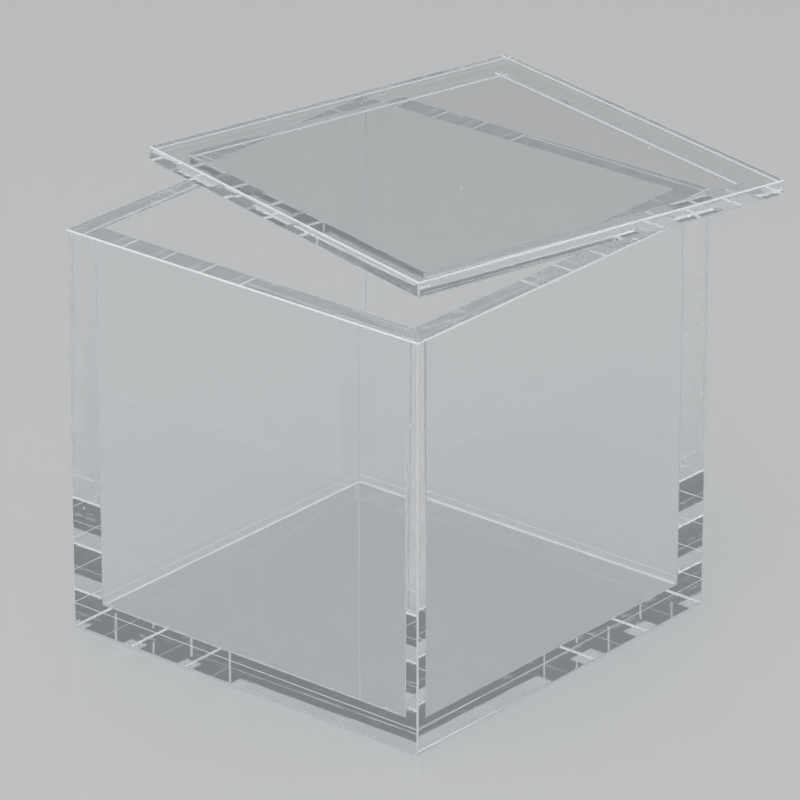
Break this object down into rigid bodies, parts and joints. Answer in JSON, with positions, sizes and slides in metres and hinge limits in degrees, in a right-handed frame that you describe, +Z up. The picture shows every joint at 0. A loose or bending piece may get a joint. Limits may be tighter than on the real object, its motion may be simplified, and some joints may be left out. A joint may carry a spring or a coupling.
{
  "type": "storage box",
  "caption": "Clear acrylic keepsake box of mitred, solvent-welded sheet, with a lift-off lid that lies turned and set back on the rim.",
  "frame": {"origin": "middle of the base panel's underside, which is the face the box stands on", "axes": "+Z up out of the box's mouth, +X to the right and +Y to the back; the front wall faces -Y"},
  "size_m": [0.1023, 0.1129, 0.0872],
  "materials": {
    "base_panel": "polished clear acrylic sheet",
    "wall_panels": "polished clear acrylic sheet",
    "lid": "polished clear acrylic sheet"
  },
  "bodies": {
    "box": {"base_panel": "base_panel", "front_wall": "wall_panels", "right_wall": "wall_panels", "back_wall": "wall_panels", "left_wall": "wall_panels"},
    "lid": {"lid_plate": "lid", "lid_locating_plate": "lid"}
  },
  "joints": [
    {"name": "lid_lift", "type": "slide", "parent": "box", "child": "lid", "axis": [0, 0, 1], "range_m": [0, 0.1]}
  ]
}
